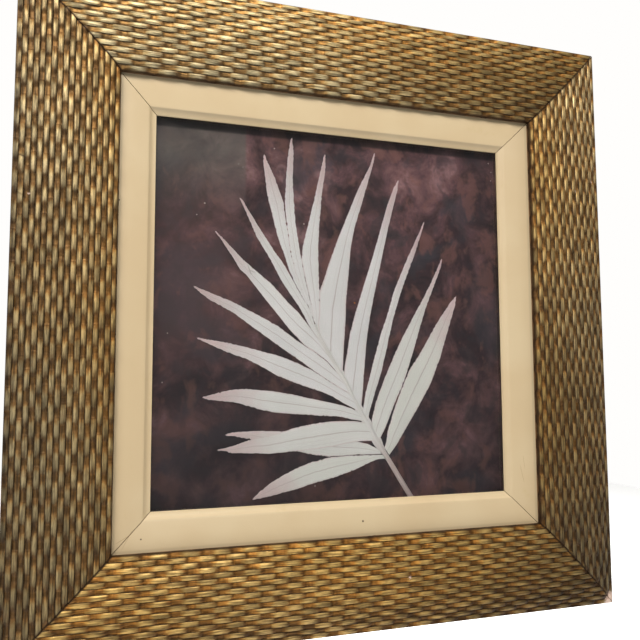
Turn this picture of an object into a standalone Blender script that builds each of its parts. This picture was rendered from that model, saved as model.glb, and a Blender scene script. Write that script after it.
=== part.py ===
"""Square picture frame with a pressed palm leaf under glass.

Four mitred rails with a woven relief hold four mitred painted liner strips. The liner holds the glass,
the pressed leaf, its mount paper and a backing board, which metal points keep in place. A sawtooth hanger
is nailed to the back of the top rail. The origin is where the hanger's middle notch sits on a wall nail,
in the plane of the rails' backs. Before placing, X is right, Z is up and heights count towards the viewer
(-Y) from the edge of the visible opening.
"""
import math

import bmesh
import bpy
from mathutils import Matrix, Vector

MM = 0.001
OBJECT_NAME = "pressed_palm_leaf_frame"

# Plan of the frame, from the centre of the opening outwards
SIGHT_HALF = 100.0 * MM
BEVEL_WIDTH = 3.8 * MM
LINER_VISIBLE = 18.1 * MM
RAIL_WIDTH = 48.8 * MM
RAIL_OVERLAP = 6.3 * MM
RAIL_INNER = SIGHT_HALF + LINER_VISIBLE
RAIL_OUTER = RAIL_INNER + RAIL_WIDTH
LINER_CLEARANCE = 0.4 * MM
LINER_OUTER = RAIL_INNER + RAIL_OVERLAP - LINER_CLEARANCE
REBATE = 5.0 * MM
PANE_CLEARANCE = 0.5 * MM
PANE_HALF = SIGHT_HALF + REBATE - PANE_CLEARANCE

# Heights towards the viewer above the visible edge of the liner
BEVEL_HEIGHT = 2.0 * MM
LINER_HEIGHT = 5.2 * MM
LINER_LIP = 1.0 * MM
RAIL_BACK = -10.5 * MM
LINER_BACK = -10.2 * MM
GLASS_FRONT = -1.3 * MM
GLASS_THICKNESS = 2.0 * MM
LEAF_FRONT = -3.6 * MM
LEAF_THICKNESS = 0.4 * MM
LOWER_LEAF_FRONT = -4.3 * MM
STEM_THICKNESS = 1.1 * MM
PAPER_FRONT = -5.0 * MM
PAPER_THICKNESS = 0.5 * MM
BOARD_FRONT = -5.8 * MM
BOARD_THICKNESS = 2.4 * MM
GAP = 0.3 * MM

# Domed, woven face of the rail
STRANDS = 18
WEAVE_PERIOD = 14.7 * MM
CROWN_PEAK = 11.5 * MM
CROWN_PEAK_AT = 22.0 * MM
CROWN_REACH = 24.4 * MM
CROWN_DROP = 3.6 * MM
CROWN_POWER = 2.6
RELIEF = 1.3 * MM
EDGE_CROWN = 0.35
EDGE_DIP = 0.75
CORNER_CUT = 1.0 * MM
FLAT_ANGLE = 0.05

# Metal points that keep the back in, and the sawtooth hanger
POINT_WIDTH = 7.0 * MM
POINT_THICKNESS = 0.4 * MM
POINT_BURIED = 7.0 * MM
POINT_SHOWN = 8.0 * MM
POINT_PLACE = 60.0 * MM
HANGER_LENGTH = 46.0 * MM
HANGER_HEIGHT = 9.0 * MM
HANGER_THICKNESS = 0.9 * MM
HANGER_TEETH = 9
TOOTH_PITCH = 3.0 * MM
TOOTH_DEPTH = 1.4 * MM
HANGER_CHAMFER = 1.5 * MM
NAIL_PLACE = 19.0 * MM
NAIL_RADIUS = 0.5 * MM
NAIL_HEAD_RADIUS = 1.7 * MM
NAIL_HEAD = 0.6 * MM
NAIL_LENGTH = 9.0 * MM
NAIL_HOLE_RADIUS = 0.85 * MM
ROUND_SIDES = 12
HANGING_HEIGHT = 142.0 * MM
HANGER_LOW = HANGING_HEIGHT - TOOTH_DEPTH
NAIL_UP = HANGER_LOW + HANGER_HEIGHT / 2.0

# Stalk of the leaf: X, Z and half width in millimetres, from the cut end to the tip
STEM_LINE = [
    (44.0, -103.5, 1.45), (35.0, -89.5, 1.4), (27.5, -77.5, 1.3), (24.0, -72.5, 1.25), (20.5, -66.5, 1.15),
    (17.5, -61.0, 1.0), (12.5, -53.0, 0.8), (8.5, -46.0, 0.65), (6.0, -40.5, 0.5), (3.5, -35.5, 0.45),
    (-1.5, -28.0, 0.4), (-6.0, -20.5, 0.4), (-10.0, -13.5, 0.35), (-12.5, -8.0, 0.3),
]
LEAFLET_INSET = 0.16
STEM_CLEARANCE = 0.2
SHARPEST = 0.15

# Leaflets in millimetres: side of the stalk, Z on the stalk where the first edge starts, first edge out to
# the tip, second edge back, and Z on the stalk where it ends. The three at the top end in their own wedge.
LEAFLETS = {
    "leaflet_left_1": (-1, -76.2, [
        (7.0, -76.7), (-5.0, -77.2), (-17.0, -79.5), (-24.5, -82.0), (-32.0, -85.5), (-39.0, -89.5),
        (-44.0, -93.0), (-48.5, -97.5), (-42.0, -97.0), (-34.5, -95.5), (-24.5, -93.5), (-14.0, -90.5),
        (-3.0, -88.0), (8.5, -84.5), (14.5, -82.0), (22.0, -79.2)], -78.2),
    "leaflet_left_2": (-1, -73.4, [
        (17.0, -71.0), (9.5, -69.0), (-6.5, -66.0), (-18.0, -63.8), (-31.0, -62.5), (-45.0, -62.0),
        (-59.0, -62.5), (-63.0, -64.0), (-57.5, -65.0), (-50.0, -66.5), (-38.0, -70.5), (-24.5, -73.5),
        (-15.5, -75.5), (-5.0, -77.0), (7.0, -76.5)], -75.6),
    "leaflet_left_3": (-1, -58.6, [
        (8.5, -58.2), (-0.5, -58.0), (-10.5, -58.5), (-19.5, -60.0), (-27.0, -61.5), (-40.5, -65.0),
        (-49.5, -66.5), (-59.0, -69.5), (-67.0, -71.5), (-61.5, -72.3), (-60.5, -73.4), (-52.5, -73.7),
        (-38.0, -74.5), (-24.5, -73.5), (-6.5, -72.0), (9.5, -69.2)], -68.3),
    "leaflet_left_4": (-1, -53.1, [
        (7.0, -51.2), (-0.5, -49.0), (-10.5, -47.0), (-21.5, -44.5), (-36.5, -41.5), (-51.5, -40.0),
        (-59.0, -40.5), (-66.5, -42.0), (-75.0, -44.5), (-71.0, -46.0), (-57.5, -47.5), (-44.0, -51.5),
        (-36.5, -53.0), (-21.5, -54.0), (-10.5, -55.0), (-0.5, -55.6), (7.0, -57.2)], -57.8),
    "leaflet_left_5": (-1, -43.3, [
        (-0.5, -39.6), (-6.0, -36.4), (-13.0, -31.8), (-16.5, -30.0), (-23.0, -27.0), (-35.0, -22.5),
        (-48.5, -19.0), (-62.0, -16.0), (-69.0, -15.0), (-78.0, -14.0), (-71.0, -17.5), (-62.0, -21.5),
        (-51.5, -25.0), (-42.5, -29.5), (-35.0, -33.5), (-26.0, -37.0), (-18.5, -39.5), (-10.5, -42.0),
        (-4.5, -44.5), (2.5, -48.5)], -52.2),
    "leaflet_left_6": (-1, -36.9, [
        (-0.5, -32.5), (-7.0, -25.6), (-14.0, -20.6), (-19.5, -17.4), (-24.8, -13.9), (-34.5, -7.0),
        (-45.5, -1.0), (-59.0, 5.5), (-74.0, 11.0), (-80.0, 13.0), (-76.5, 9.5), (-71.0, 5.5),
        (-59.0, -0.5), (-48.5, -8.0), (-36.5, -16.0), (-26.0, -23.0), (-20.0, -27.0), (-13.0, -31.8),
        (-6.0, -36.4), (-0.5, -39.6)], -42.9),
    "leaflet_left_7": (-1, -16.4, [
        (-12.2, -13.2), (-17.0, -6.7), (-23.0, 0.5), (-28.5, 5.5), (-38.0, 15.5), (-48.5, 24.0),
        (-54.5, 29.0), (-65.0, 39.5), (-69.0, 42.5), (-65.0, 37.0), (-58.5, 27.5), (-55.5, 22.5),
        (-51.5, 19.0), (-42.5, 8.0), (-33.0, -3.0), (-28.5, -8.4), (-23.7, -13.3), (-19.5, -17.4),
        (-14.0, -20.6), (-7.0, -25.6), (-0.5, -32.5)], -36.4),
    "leaflet_left_8": (-1, -11.0, [
        (-13.6, -6.3), (-14.5, -3.5), (-16.6, 2.6), (-21.0, 9.3), (-25.0, 16.0), (-30.5, 25.5),
        (-39.0, 37.5), (-46.5, 48.5), (-54.0, 60.0), (-56.0, 61.5), (-53.0, 55.0), (-46.5, 40.5),
        (-39.5, 29.5), (-32.0, 16.5), (-23.0, 4.0), (-20.0, -1.0), (-17.0, -6.7), (-12.2, -13.2)], -15.9),
    "leaflet_top_1": (0, 0.0, [
        (-16.6, 2.6), (-21.0, 12.5), (-24.5, 22.0), (-27.5, 33.0), (-29.0, 44.5), (-30.2, 52.0),
        (-31.2, 60.0), (-36.5, 74.5), (-39.0, 79.5), (-42.5, 86.5), (-43.0, 82.0), (-42.5, 77.5),
        (-41.0, 64.5), (-38.0, 52.5), (-35.0, 42.0), (-30.5, 30.0), (-28.5, 24.0), (-25.0, 16.0),
        (-21.0, 9.3)], 0.0),
    "leaflet_top_2": (0, 0.0, [
        (-14.5, -3.5), (-14.9, 1.0), (-16.8, 8.5), (-19.5, 20.5), (-21.3, 29.5), (-22.2, 34.0),
        (-24.5, 49.0), (-25.5, 65.5), (-26.0, 74.5), (-25.5, 89.5), (-26.5, 97.5), (-28.0, 94.5),
        (-29.5, 83.5), (-30.5, 69.0), (-31.0, 61.0), (-30.2, 52.0), (-29.0, 44.5), (-27.5, 33.0),
        (-24.5, 22.0), (-21.0, 12.5), (-16.6, 2.6)], 0.0),
    "leaflet_top_3": (0, 0.0, [
        (-12.7, -6.5), (-12.0, -5.0), (-11.3, 0.5), (-11.1, 12.5), (-11.6, 22.0), (-11.8, 37.0),
        (-10.5, 52.0), (-9.0, 68.5), (-7.0, 82.0), (-7.5, 90.0), (-8.5, 88.0), (-11.0, 77.5),
        (-14.0, 64.5), (-17.5, 50.5), (-20.7, 37.0), (-21.3, 29.5), (-19.5, 20.5), (-16.8, 8.5),
        (-14.9, 1.0), (-14.5, -3.5)], 0.0),
    "leaflet_right_5": (1, -9.4, [
        (-12.0, -5.0), (-11.3, 0.5), (-11.1, 12.5), (-9.0, 17.5), (-5.0, 29.5), (-0.5, 41.5),
        (4.5, 54.0), (12.0, 71.5), (18.5, 84.0), (22.5, 93.5), (22.0, 88.0), (18.0, 74.5),
        (14.0, 61.5), (10.0, 49.0), (7.5, 37.0), (6.0, 22.0), (4.5, 8.0), (4.0, -4.5),
        (2.8, -19.5), (2.3, -29.5)], -31.9),
    "leaflet_right_4": (1, -35.2, [
        (2.9, -32.5), (3.3, -28.0), (4.5, -22.0), (6.5, -10.0), (10.0, 2.0), (14.5, 15.5),
        (20.5, 34.0), (26.0, 52.0), (29.5, 63.0), (34.0, 74.5), (37.0, 79.0), (36.5, 73.0),
        (33.0, 60.0), (29.5, 46.5), (25.0, 27.0), (22.0, 14.5), (19.0, 1.5), (16.5, -13.0),
        (15.0, -28.0), (13.7, -43.0)], -51.9),
    "leaflet_right_3": (1, -53.6, [
        (14.5, -49.0), (15.5, -43.0), (17.5, -36.0), (21.0, -23.5), (25.0, -10.5), (29.5, 2.0),
        (32.5, 13.0), (36.5, 22.0), (43.0, 36.0), (50.0, 49.5), (53.0, 55.5), (52.0, 51.0),
        (48.5, 40.5), (44.5, 30.0), (40.0, 19.0), (37.0, 11.0), (32.0, -4.0), (29.0, -16.5),
        (25.5, -30.0), (21.0, -43.5), (17.5, -54.0)], -58.6),
    "leaflet_right_2": (1, -61.8, [
        (19.0, -57.5), (21.5, -48.0), (26.0, -37.0), (32.0, -24.0), (38.0, -12.0), (44.4, -0.5),
        (50.5, 9.5), (56.0, 19.0), (60.5, 28.0), (64.0, 34.5), (63.5, 29.5), (59.0, 19.0),
        (53.0, 4.5), (47.0, -13.5), (42.5, -26.5), (38.0, -38.5), (32.5, -49.5), (27.5, -61.0)], -69.3),
    "leaflet_right_1": (1, -74.3, [
        (27.5, -70.5), (28.5, -64.5), (32.0, -54.0), (37.0, -41.5), (42.5, -30.0), (50.0, -19.0),
        (58.0, -6.0), (62.5, 0.5), (68.5, 8.5), (73.0, 13.0), (72.5, 8.0), (69.0, -2.7),
        (66.5, -10.0), (62.0, -23.5), (56.0, -37.0), (47.5, -51.0), (38.5, -64.5), (33.5, -72.0)], -78.0),
}
LOWER_LEAFLET = "leaflet_left_2"

# Turn about the depth axis that takes a strip made for the top to each side
SIDES = {"top": 0.0, "right": 90.0, "bottom": 180.0, "left": 270.0}


def clear_scene():
    for old in list(bpy.data.objects):
        bpy.data.objects.remove(old, do_unlink=True)


def make_collection(name):
    collection = bpy.data.collections.new(name)
    bpy.context.scene.collection.children.link(collection)
    return collection


def make_material(name, colour, roughness, metallic=0.0, transmission=0.0):
    material = bpy.data.materials.new(name)
    material.use_nodes = True
    shader = material.node_tree.nodes["Principled BSDF"]
    shader.inputs["Base Color"].default_value = (*colour, 1.0)
    shader.inputs["Roughness"].default_value = roughness
    shader.inputs["Metallic"].default_value = metallic
    shader.inputs["Transmission Weight"].default_value = transmission
    return material


def add_object(name, data, material, collection, parent):
    piece = bpy.data.objects.new(name, data)
    data.materials.clear()
    data.materials.append(material)
    collection.objects.link(piece)
    piece.parent = parent
    return piece


def crown_height(across):
    """Height of the strand crowns over the rail's width, counted from its inner edge."""
    reach = abs(across - CROWN_PEAK_AT) / CROWN_REACH
    return CROWN_PEAK - CROWN_DROP * reach ** CROWN_POWER


def woven_height(column, row, across):
    """Crowns and dips alternate along and across the strands, and fade at the rail's edges."""
    is_crown = (column + row) % 2 == 0
    if 0 < column <= STRANDS:
        return crown_height(across) - (0.0 if is_crown else RELIEF)
    return crown_height(across) - RELIEF * (EDGE_CROWN if is_crown else EDGE_DIP)


def trim(mesh, point, outward):
    """Cuts the closed mesh with a plane, drops the outward side and closes the cut."""
    everything = mesh.verts[:] + mesh.edges[:] + mesh.faces[:]
    bmesh.ops.bisect_plane(mesh, geom=everything, plane_co=point, plane_no=outward, clear_outer=True)
    open_edges = [edge for edge in mesh.edges if edge.is_boundary]
    bmesh.ops.holes_fill(mesh, edges=open_edges, sides=0)


def trim_mitres(mesh):
    """Cuts both ends of a top strip at 45 degrees, half a gap short of the neighbouring strip."""
    for side in (-1.0, 1.0):
        outward = Vector((side, 0.0, -1.0)).normalized()
        trim(mesh, outward * (-0.5 * GAP), outward)


def rail_mesh():
    """The top rail: a woven, domed face on a rebated body, with mitred ends and eased outer corners."""
    pitch = RAIL_WIDTH / STRANDS
    columns = [0.0] + [(strand + 0.5) * pitch for strand in range(STRANDS)] + [RAIL_WIDTH]
    half_period = WEAVE_PERIOD / 2.0
    half_rows = math.ceil(RAIL_OUTER / half_period)
    lip_back = LINER_HEIGHT + GAP
    body = [(RAIL_WIDTH, RAIL_BACK), (RAIL_OVERLAP, RAIL_BACK), (RAIL_OVERLAP, lip_back), (0.0, lip_back)]
    mesh = bmesh.new()
    rings = []
    for row in range(-half_rows, half_rows + 1):
        face = [(across, woven_height(column, row, across)) for column, across in enumerate(columns)]
        along = row * half_period
        section = face + body
        rings.append([mesh.verts.new((along, -height, RAIL_INNER + across)) for across, height in section])
    for ring, following in zip(rings, rings[1:]):
        for index in range(len(ring)):
            after = (index + 1) % len(ring)
            mesh.faces.new((ring[index], ring[after], following[after], following[index]))
    mesh.faces.new(list(reversed(rings[0])))
    mesh.faces.new(rings[-1])
    bmesh.ops.recalc_face_normals(mesh, faces=mesh.faces[:])
    trim_mitres(mesh)
    for side in (-1.0, 1.0):
        corner = Vector((side, 0.0, 1.0)).normalized()
        trim(mesh, corner * (RAIL_OUTER * math.sqrt(2.0) - CORNER_CUT), corner)
    flat = math.radians(FLAT_ANGLE)
    bmesh.ops.dissolve_limit(mesh, angle_limit=flat, verts=mesh.verts[:], edges=mesh.edges[:])
    bmesh.ops.triangulate(mesh, faces=mesh.faces[:])
    data = bpy.data.meshes.new("rail")
    mesh.to_mesh(data)
    mesh.free()
    return data


def liner_mesh():
    """The top liner strip: a sloping face, a bevelled edge and a rebate for the glass and the board."""
    profile = [
        (SIGHT_HALF, -LINER_LIP), (SIGHT_HALF, 0.0), (SIGHT_HALF + BEVEL_WIDTH, BEVEL_HEIGHT),
        (RAIL_INNER, LINER_HEIGHT), (LINER_OUTER, LINER_HEIGHT), (LINER_OUTER, LINER_BACK),
        (SIGHT_HALF + REBATE, LINER_BACK), (SIGHT_HALF + REBATE, -LINER_LIP),
    ]
    mitre_gap = GAP / math.sqrt(2.0)
    mesh = bmesh.new()
    ends = []
    for side in (-1.0, 1.0):
        corners = []
        for across, height in profile:
            corners.append(mesh.verts.new((side * (across - mitre_gap), -height, across)))
        mesh.faces.new(corners)
        ends.append(corners)
    for index in range(len(profile)):
        after = (index + 1) % len(profile)
        mesh.faces.new((ends[0][index], ends[0][after], ends[1][after], ends[1][index]))
    bmesh.ops.recalc_face_normals(mesh, faces=mesh.faces[:])
    data = bpy.data.meshes.new("liner")
    mesh.to_mesh(data)
    mesh.free()
    return data


def box_mesh(name, low, high):
    """A box between two opposite corners."""
    low = Vector(low)
    high = Vector(high)
    mesh = bmesh.new()
    bmesh.ops.create_cube(mesh, size=1.0)
    size = high - low
    placing = Matrix.Translation((low + high) / 2.0) @ Matrix.Diagonal((*size, 1.0))
    bmesh.ops.transform(mesh, matrix=placing, verts=mesh.verts[:])
    data = bpy.data.meshes.new(name)
    mesh.to_mesh(data)
    mesh.free()
    return data


def pane_mesh(name, front, thickness):
    """A square sheet that fills the rebate, its face at the given height."""
    return box_mesh(name, (-PANE_HALF, -front, -PANE_HALF), (PANE_HALF, thickness - front, PANE_HALF))


def flat_curve(name, outlines, thickness):
    """A flat piece from closed outlines in X and Z, holes among them, centred on its own thickness."""
    curve = bpy.data.curves.new(name, "CURVE")
    curve.dimensions = "2D"
    curve.fill_mode = "BOTH"
    curve.extrude = thickness / 2.0
    for outline in outlines:
        spline = curve.splines.new("POLY")
        spline.points.add(len(outline) - 1)
        spline.use_cyclic_u = True
        for point, (across, up) in zip(spline.points, outline):
            point.co = (across, up, 0.0, 1.0)
    return curve


def stand_up(piece, front, thickness):
    """Turns a flat piece to face the viewer, with its front at the given height."""
    piece.rotation_euler = (math.radians(90.0), 0.0, 0.0)
    piece.location = (0.0, thickness / 2.0 - front, 0.0)


def stem_side(up, side, clearance):
    """A point beside the stalk at height up: side is -1 for left, 1 for right."""
    for (low_x, low_z, low_half), (high_x, high_z, high_half) in zip(STEM_LINE, STEM_LINE[1:]):
        if up <= high_z:
            break
    share = (up - low_z) / (high_z - low_z)
    centre = Vector((low_x, low_z)).lerp(Vector((high_x, high_z)), share)
    half = low_half + (high_half - low_half) * share
    along = Vector((high_x - low_x, high_z - low_z)).normalized()
    return centre + Vector((along.y, -along.x)) * side * (half + clearance)


def stem_outline():
    """Both edges of the stalk, up its left side and down its right."""
    heights = [up for across, up, half in STEM_LINE]
    left = [stem_side(up, -1, 0.0) for up in heights]
    right = [stem_side(up, 1, 0.0) for up in reversed(heights)]
    return left + right


def inset(outline, distance):
    """Moves every edge of a closed outline inwards, less at its sharp tips."""
    points = [Vector(point) for point in outline]
    pairs = list(zip(points, points[1:] + points[:1]))
    turning = 1.0 if sum(a.x * b.y - b.x * a.y for a, b in pairs) > 0.0 else -1.0
    moved = []
    for index, point in enumerate(points):
        before = (point - points[index - 1]).normalized()
        after = (points[(index + 1) % len(points)] - point).normalized()
        inward_before = Vector((-before.y, before.x)) * turning
        inward_after = Vector((-after.y, after.x)) * turning
        spread = max(1.0 + inward_before.dot(inward_after), SHARPEST)
        moved.append(point + (inward_before + inward_after) * (distance / spread))
    return moved


def leaflet_outline(side, start_up, edge, end_up):
    """A leaflet's outline in metres, its base following the stalk where it grows from it."""
    outline = list(edge)
    if side:
        start = stem_side(start_up, side, STEM_CLEARANCE)
        end = stem_side(end_up, side, STEM_CLEARANCE)
        bends = [up for across, up, half in STEM_LINE if end_up < up < start_up]
        base = [stem_side(up, side, STEM_CLEARANCE) for up in bends]
        outline = [start] + outline + [end] + base
    return [point * MM for point in inset(outline, LEAFLET_INSET)]


def circle_outline(across, up, radius):
    turns = [2.0 * math.pi * step / ROUND_SIDES for step in range(ROUND_SIDES)]
    return [(across + radius * math.cos(turn), up + radius * math.sin(turn)) for turn in turns]


def hanger_outlines():
    """A plate with a toothed lower edge, chamfered corners and a nail hole near each end."""
    half = HANGER_LENGTH / 2.0
    low = HANGER_LOW
    high = low + HANGER_HEIGHT
    chamfer = HANGER_CHAMFER
    toothed = HANGER_TEETH * TOOTH_PITCH / 2.0
    outline = [(half, low + chamfer), (half, high - chamfer), (half - chamfer, high)]
    outline += [(chamfer - half, high), (-half, high - chamfer), (-half, low + chamfer)]
    outline += [(chamfer - half, low), (-toothed, low)]
    for tooth in range(HANGER_TEETH):
        left = tooth * TOOTH_PITCH - toothed
        outline += [(left + TOOTH_PITCH / 2.0, low + TOOTH_DEPTH), (left + TOOTH_PITCH, low)]
    outline.append((half - chamfer, low))
    holes = [circle_outline(side * NAIL_PLACE, NAIL_UP, NAIL_HOLE_RADIUS) for side in (-1.0, 1.0)]
    return [outline] + holes


def nail_mesh():
    """Profile of a nail, turned about Z: flat head, straight shank and a point, head end up at zero."""
    profile = [
        (0.0, NAIL_HEAD), (NAIL_HEAD_RADIUS, NAIL_HEAD), (NAIL_HEAD_RADIUS, 0.0), (NAIL_RADIUS, 0.0),
        (NAIL_RADIUS, 3.0 * NAIL_RADIUS - NAIL_LENGTH), (0.0, -NAIL_LENGTH),
    ]
    data = bpy.data.meshes.new("nail")
    points = [(radius, 0.0, up) for radius, up in profile]
    links = [(index, index + 1) for index in range(len(profile) - 1)]
    data.from_pydata(points, links, [])
    return data


def add_turning(piece):
    turning = piece.modifiers.new("Turn", "SCREW")
    turning.axis = "Z"
    turning.steps = ROUND_SIDES
    turning.render_steps = ROUND_SIDES
    turning.use_merge_vertices = True
    turning.merge_threshold = 0.001 * MM


def add_cut(piece, cutter, cutters):
    cutters.objects.link(cutter)
    cutter.hide_render = True
    cutter.display_type = "WIRE"
    cut = piece.modifiers.new("Cut " + cutter.name, "BOOLEAN")
    cut.operation = "DIFFERENCE"
    cut.object = cutter


def build_rails(parts, cutters, centre):
    material = make_material("woven_gilt", (0.42, 0.28, 0.12), 0.45, metallic=0.5)
    data = rail_mesh()
    for side, turn in SIDES.items():
        rail = add_object("rail_" + side, data, material, parts, centre)
        rail.rotation_euler = (0.0, math.radians(turn), 0.0)
        if side == "top":
            drill_nail_holes(rail, cutters, centre)


def drill_nail_holes(rail, cutters, centre):
    depth = NAIL_LENGTH - HANGER_THICKNESS - GAP
    for number, side in enumerate((-1.0, 1.0), start=1):
        mesh = bmesh.new()
        bmesh.ops.create_cone(
            mesh, cap_ends=True, segments=ROUND_SIDES, radius1=NAIL_HOLE_RADIUS, radius2=NAIL_HOLE_RADIUS,
            depth=2.0 * depth,
        )
        data = bpy.data.meshes.new("nail_hole")
        mesh.to_mesh(data)
        mesh.free()
        cutter = bpy.data.objects.new("nail_hole_%d" % number, data)
        cutter.parent = centre
        cutter.rotation_euler = (math.radians(90.0), 0.0, 0.0)
        cutter.location = (side * NAIL_PLACE, -RAIL_BACK, NAIL_UP)
        add_cut(rail, cutter, cutters)


def build_liners(parts, cutters, centre):
    """The painted strips, each with two slots for the points that keep the back in, and those points."""
    paint = make_material("cream_paint", (0.72, 0.60, 0.38), 0.5)
    steel = make_material("blued_steel", (0.35, 0.36, 0.38), 0.4, metallic=1.0)
    data = liner_mesh()
    rebate_edge = SIGHT_HALF + REBATE
    point_front = BOARD_FRONT - BOARD_THICKNESS - GAP
    point_back = point_front - POINT_THICKNESS
    half = POINT_WIDTH / 2.0
    low = (-half, -point_front, rebate_edge - POINT_SHOWN)
    high = (half, -point_back, rebate_edge + POINT_BURIED)
    point_data = box_mesh("point", low, high)
    slot_low = (-half - GAP, -point_front - GAP, rebate_edge - 2.0 * GAP)
    slot_high = (half + GAP, GAP - point_back, rebate_edge + POINT_BURIED + GAP)
    slot_data = box_mesh("slot", slot_low, slot_high)
    for side, turn in SIDES.items():
        liner = add_object("liner_" + side, data, paint, parts, centre)
        turned = Matrix.Rotation(math.radians(turn), 4, "Y")
        liner.matrix_local = turned
        for number, along in enumerate((-POINT_PLACE, POINT_PLACE), start=1):
            name = "%s_%d" % (side, number)
            placing = turned @ Matrix.Translation((along, 0.0, 0.0))
            slot = bpy.data.objects.new("slot_" + name, slot_data)
            slot.parent = centre
            slot.matrix_local = placing
            add_cut(liner, slot, cutters)
            point = add_object("point_" + name, point_data, steel, parts, centre)
            point.matrix_local = placing


def build_panes(parts, centre):
    glass = make_material("clear_glass", (1.0, 1.0, 1.0), 0.02, transmission=1.0)
    paper = make_material("mottled_paper", (0.09, 0.055, 0.06), 0.8)
    board = make_material("backing_board", (0.30, 0.19, 0.10), 0.8)
    add_object("glass", pane_mesh("glass", GLASS_FRONT, GLASS_THICKNESS), glass, parts, centre)
    add_object("mount_paper", pane_mesh("paper", PAPER_FRONT, PAPER_THICKNESS), paper, parts, centre)
    add_object("backing_board", pane_mesh("board", BOARD_FRONT, BOARD_THICKNESS), board, parts, centre)


def build_leaf(parts, centre):
    """The stalk and its leaflets, pressed flat; one leaflet lies under its neighbour."""
    stalk = make_material("dried_stalk", (0.52, 0.42, 0.40), 0.7)
    blade = make_material("bleached_leaf", (0.62, 0.60, 0.53), 0.7)
    outline = [point * MM for point in stem_outline()]
    stem = add_object("stem", flat_curve("stem", [outline], STEM_THICKNESS), stalk, parts, centre)
    stand_up(stem, LEAF_FRONT, STEM_THICKNESS)
    for name, (side, start_up, edge, end_up) in LEAFLETS.items():
        outline = leaflet_outline(side, start_up, edge, end_up)
        leaflet = add_object(name, flat_curve(name, [outline], LEAF_THICKNESS), blade, parts, centre)
        front = LOWER_LEAF_FRONT if name == LOWER_LEAFLET else LEAF_FRONT
        stand_up(leaflet, front, LEAF_THICKNESS)


def build_hanger(parts, centre):
    brass = make_material("brassed_steel", (0.62, 0.47, 0.20), 0.35, metallic=1.0)
    steel = make_material("nail_steel", (0.50, 0.50, 0.50), 0.4, metallic=1.0)
    curve = flat_curve("hanger", hanger_outlines(), HANGER_THICKNESS)
    plate = add_object("hanger", curve, brass, parts, centre)
    plate_front = RAIL_BACK - GAP
    stand_up(plate, plate_front, HANGER_THICKNESS)
    data = nail_mesh()
    head_under = plate_front - HANGER_THICKNESS - GAP
    for number, side in enumerate((-1.0, 1.0), start=1):
        nail = add_object("hanger_nail_%d" % number, data, steel, parts, centre)
        add_turning(nail)
        nail.rotation_euler = (math.radians(-90.0), 0.0, 0.0)
        nail.location = (side * NAIL_PLACE, -head_under, NAIL_UP)


def main():
    clear_scene()
    parts = make_collection(OBJECT_NAME)
    cutters = make_collection("cutters")
    centre = bpy.data.objects.new("opening_centre", None)
    centre.location = (0.0, RAIL_BACK, -HANGING_HEIGHT)
    parts.objects.link(centre)
    build_rails(parts, cutters, centre)
    build_liners(parts, cutters, centre)
    build_panes(parts, centre)
    build_leaf(parts, centre)
    build_hanger(parts, centre)


main()
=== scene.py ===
import math

import bpy
import numpy as np
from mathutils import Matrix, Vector


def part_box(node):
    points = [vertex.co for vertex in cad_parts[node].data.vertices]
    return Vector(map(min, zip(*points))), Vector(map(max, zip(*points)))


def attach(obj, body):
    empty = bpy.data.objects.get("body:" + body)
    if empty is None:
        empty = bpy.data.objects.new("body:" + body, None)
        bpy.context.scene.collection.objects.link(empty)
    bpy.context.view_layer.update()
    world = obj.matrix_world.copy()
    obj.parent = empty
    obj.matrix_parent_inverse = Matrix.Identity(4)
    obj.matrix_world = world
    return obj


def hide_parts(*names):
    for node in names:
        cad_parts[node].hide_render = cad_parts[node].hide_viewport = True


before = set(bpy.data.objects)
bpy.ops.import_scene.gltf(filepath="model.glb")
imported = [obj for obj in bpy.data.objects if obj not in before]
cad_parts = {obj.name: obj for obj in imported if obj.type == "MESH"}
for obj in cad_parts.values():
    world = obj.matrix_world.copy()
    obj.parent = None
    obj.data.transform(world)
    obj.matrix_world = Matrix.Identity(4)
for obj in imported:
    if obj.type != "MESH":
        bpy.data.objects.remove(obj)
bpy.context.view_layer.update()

MM = 0.001

# Plan in millimetres from the centre of the opening, heights in millimetres from the opening's front
# edge towards the viewer
RAIL_INNER = 118.1
RAIL_WIDTH = 48.8
RAIL_OUTER = RAIL_INNER + RAIL_WIDTH
RAIL_OVERLAP = 6.3
RAIL_BACK = -10.5
LIP_BACK = 5.5
MITRE_GAP = 0.3
HANGING_HEIGHT = 142.0
SIDES = {"top": 0.0, "right": 90.0, "bottom": 180.0, "left": 270.0}
# which way along each rail the light comes from: that side of each crown gets the painted highlight, the
# other side painted shade
TOWARDS_LIGHT = {"top": -1.0, "right": -1.0, "bottom": 1.0, "left": 1.0}

# Weave of the rails: strands along each rail, whose crowns alternate
STRANDS = 18
PITCH = RAIL_WIDTH / STRANDS
PERIOD = 14.7
RELIEF = 1.0
CROWN_HALF = 4.05
CROWN_FALL = 2.5
CROWN_BELLY = 0.06
STRAND_FALL = 0.62
STRAND_POWER = 4.0
WALL_SLOPE = 5.5
# where the painted shade in the creases starts across a strand, its width, and the height gap under which
# it is painted
CREASE_START = 0.78
CREASE_WIDTH = 0.16
CREASE_DEPTH = 0.4
NOWHERE = -9.0

# Dome that the crowns follow across a rail, and its rounded edges
CROWN_PEAK = 11.5
CROWN_PEAK_AT = 22.0
CROWN_REACH = 24.4
CROWN_DROP = 3.6
CROWN_POWER = 2.6
EDGE_ROUND = 0.8
EDGE_DROP = 1.5
RIM_WIDTH = 1.3
RIM_HEIGHT = 7.3

# Rows and columns of the rails' meshes
ROW_STEP = 0.62
STRAND_STATIONS = (-0.94, -0.8, -0.55, -0.2, 0.2, 0.55, 0.8, 0.94)

# Liner: foot and height of its bevel, and its outer height
BEVEL_FOOT = 103.8
BEVEL_HEIGHT = 2.0
LINER_HEIGHT = 5.2

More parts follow.
